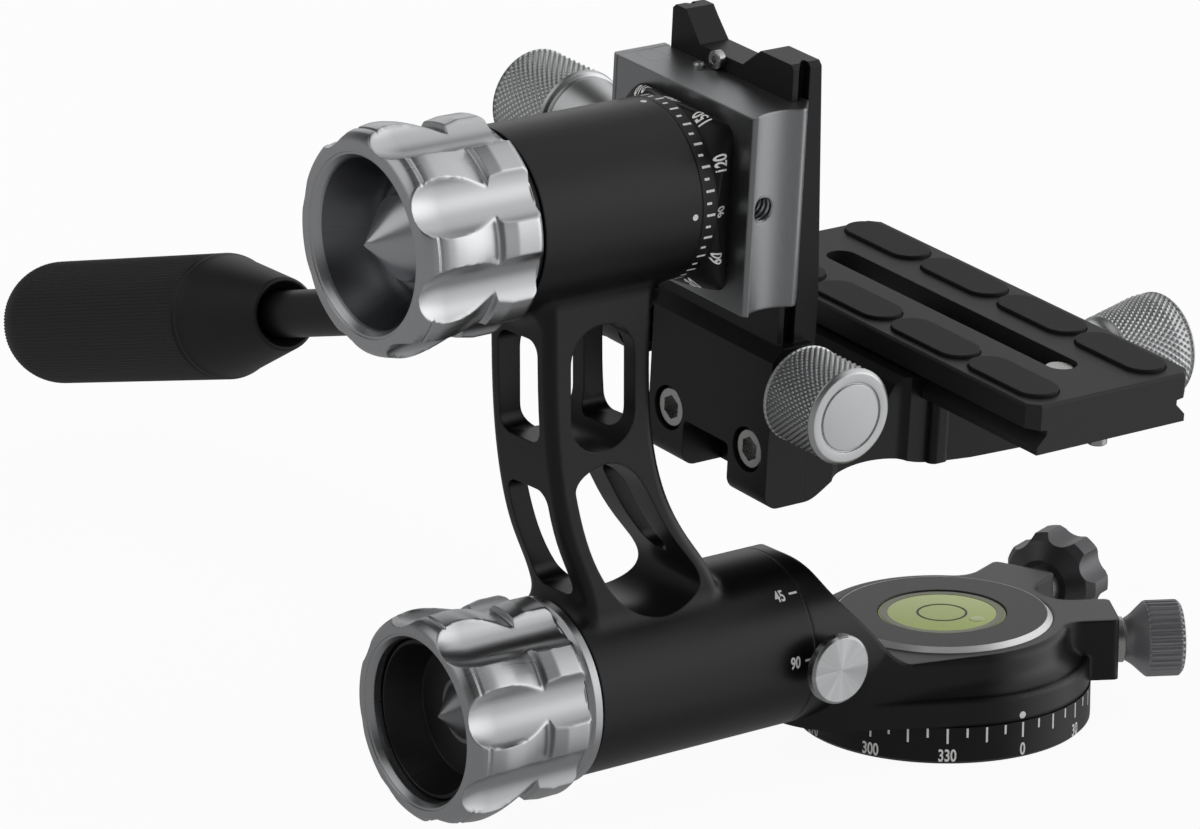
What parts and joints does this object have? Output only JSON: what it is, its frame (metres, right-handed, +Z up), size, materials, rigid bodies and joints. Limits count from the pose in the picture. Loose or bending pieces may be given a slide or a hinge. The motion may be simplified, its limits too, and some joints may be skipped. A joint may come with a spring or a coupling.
{
  "type": "gimbal tripod head",
  "caption": "Side-mount gimbal tripod head: panning base with a bubble level, folding openwork arm, tilting cradle with a dovetail clamp, a height bar, a slotted plate and a long handle.",
  "frame": {"origin": "centre of the tripod socket in the base's underside", "axes": "+Z up along the pan axis, +X along the fold and tilt axes from the large knobs towards the plate, +Y along the lens axis towards the handle"},
  "size_m": [0.1914, 0.3139, 0.1505],
  "materials": {
    "black_anodised": "matte anodised, fine blasted",
    "black_casting": "satin black coat",
    "grey_anodised": "satin grey anodised",
    "silver_anodised": "satin turned",
    "brushed_silver": "brushed",
    "steel": "machined",
    "bronze": "sintered bush",
    "polymer": "low-friction polymer",
    "rubber": "matte rubber",
    "grip": "fine-ribbed black",
    "level_fluid": "clear cap over yellow-green fluid"
  },
  "bodies": {
    "base": {"base_dial": "black_anodised", "pan_spindle": "steel", "base_screws": "steel", "pan_washer": "polymer", "pan_retainer": "steel", "retainer_screws": "steel"},
    "pan_body": {"pan_housing": "black_anodised", "level_cover": "grey_anodised", "level_vial": "level_fluid", "lock_shoe": "polymer", "drag_shoe": "polymer", "fold_shaft": "steel", "fold_lock_spring": "steel"},
    "pan_lock": {"pan_lock_knob": "grey_anodised", "pan_lock_stud": "steel"},
    "pan_drag": {"pan_drag_knob": "grey_anodised", "pan_drag_stud": "steel"},
    "lock_button": {"fold_lock_button": "silver_anodised"},
    "fold_grip": {"fold_knob": "silver_anodised", "fold_knob_hub": "grey_anodised"},
    "arm": {"swing_arm": "black_casting", "fold_bush_inner": "bronze", "fold_bush_outer": "bronze", "fold_flange": "silver_anodised", "tilt_bearing_inner": "steel", "tilt_bearing_outer": "steel"},
    "cradle": {"tilt_shaft": "steel", "tilt_flange": "steel", "tilt_dial": "black_anodised", "clamp_body": "brushed_silver", "clamp_pin": "steel"},
    "tilt_grip": {"tilt_knob": "silver_anodised", "tilt_knob_hub": "silver_anodised"},
    "clamp_slide": {"clamp_jaw": "brushed_silver", "clamp_guides": "steel"},
    "clamp_grip": {"clamp_knob": "silver_anodised", "clamp_stud": "steel"},
    "bar": {"cradle_bar": "black_anodised", "bar_stop_screw": "steel", "platform": "black_anodised", "platform_screws": "steel"},
    "handle": {"handle_socket": "black_anodised", "handle_rod": "black_anodised", "handle_grip": "grip"},
    "handle_lock": {"handle_knob": "silver_anodised", "handle_bolt": "steel"},
    "plate_slide": {"plate_jaw": "black_anodised", "plate_guides": "steel"},
    "plate_grip": {"plate_knob": "silver_anodised", "plate_stud": "steel"},
    "plate": {"quick_plate": "black_anodised", "plate_pads": "rubber", "plate_stop_screws": "steel"},
    "camera_stud": {"camera_screw": "steel"}
  },
  "joints": [
    {"name": "pan", "type": "hinge", "parent": "base", "child": "pan_body", "pos_m": [0, 0, 0], "axis": [0, 0, 1], "continuous": true},
    {"name": "pan_lock_turn", "type": "hinge", "parent": "pan_body", "child": "pan_lock", "pos_m": [0.03894, 0.01573, 0.0141], "axis": [0.9272, 0.3746, 0], "range_deg": [0, 360]},
    {"name": "pan_drag_turn", "type": "hinge", "parent": "pan_body", "child": "pan_drag", "pos_m": [0.03204, -0.0185, 0.0141], "axis": [0.866, -0.5, 0], "range_deg": [0, 360]},
    {"name": "fold_button_press", "type": "slide", "parent": "pan_body", "child": "lock_button", "axis": [0, 1, 0], "range_m": [0, 0.0023], "stiffness_N_per_m": 900, "springref_m": -0.0025, "deforming": ["fold_lock_spring"]},
    {"name": "fold", "type": "hinge", "parent": "pan_body", "child": "arm", "pos_m": [-0.07, 0, 0.0257], "axis": [1, 0, 0], "range_deg": [0, 90]},
    {"name": "fold_knob_turn", "type": "hinge", "parent": "pan_body", "child": "fold_grip", "pos_m": [-0.11, 0, 0.0257], "axis": [-1, 0, 0], "range_deg": [0, 360]},
    {"name": "tilt", "type": "hinge", "parent": "arm", "child": "cradle", "pos_m": [-0.08, 0, 0.1213], "axis": [1, 0, 0], "range_deg": [-45, 180]},
    {"name": "tilt_knob_turn", "type": "hinge", "parent": "cradle", "child": "tilt_grip", "pos_m": [-0.12, 0, 0.1213], "axis": [-1, 0, 0], "range_deg": [0, 360]},
    {"name": "clamp_open", "type": "slide", "parent": "cradle", "child": "clamp_slide", "axis": [0, 0.997, 0.0772], "range_m": [0, 0.0025]},
    {"name": "clamp_knob_turn", "type": "hinge", "parent": "clamp_slide", "child": "clamp_grip", "pos_m": [-0.0615, 0.02991, 0.12362], "axis": [0, 0.997, 0.0772], "range_deg": [0, 720]},
    {"name": "bar_height", "type": "slide", "parent": "cradle", "child": "bar", "axis": [0, -0.0772, 0.997], "range_m": [0, 0.009]},
    {"name": "handle_swivel", "type": "hinge", "parent": "bar", "child": "handle", "pos_m": [-0.0513, 0.03284, 0.08583], "axis": [0, 0.997, 0.0772], "range_deg": [-90, 90]},
    {"name": "handle_knob_turn", "type": "hinge", "parent": "bar", "child": "handle_lock", "pos_m": [-0.0513, -0.022, 0.08158], "axis": [0, -0.997, -0.0772], "range_deg": [0, 360]},
    {"name": "plate_clamp_open", "type": "slide", "parent": "bar", "child": "plate_slide", "axis": [1, 0, 0], "range_m": [0, 0.0025]},
    {"name": "plate_knob_turn", "type": "hinge", "parent": "plate_slide", "child": "plate_grip", "pos_m": [0.03, -0.00705, 0.0699], "axis": [1, 0, 0], "range_deg": [0, 720]},
    {"name": "plate_slide_along", "type": "slide", "parent": "bar", "child": "plate", "axis": [0, 0.997, 0.0772], "range_m": [-0.018, 0.026]},
    {"name": "camera_screw_slide", "type": "slide", "parent": "plate", "child": "camera_stud", "axis": [0, 0.997, 0.0772], "range_m": [0, 0.066]}
  ],
  "couplings": [
    {"joint": "clamp_knob_turn", "follows": "clamp_open", "rad_per_m": 5026.5},
    {"joint": "plate_knob_turn", "follows": "plate_clamp_open", "rad_per_m": 5026.5}
  ]
}
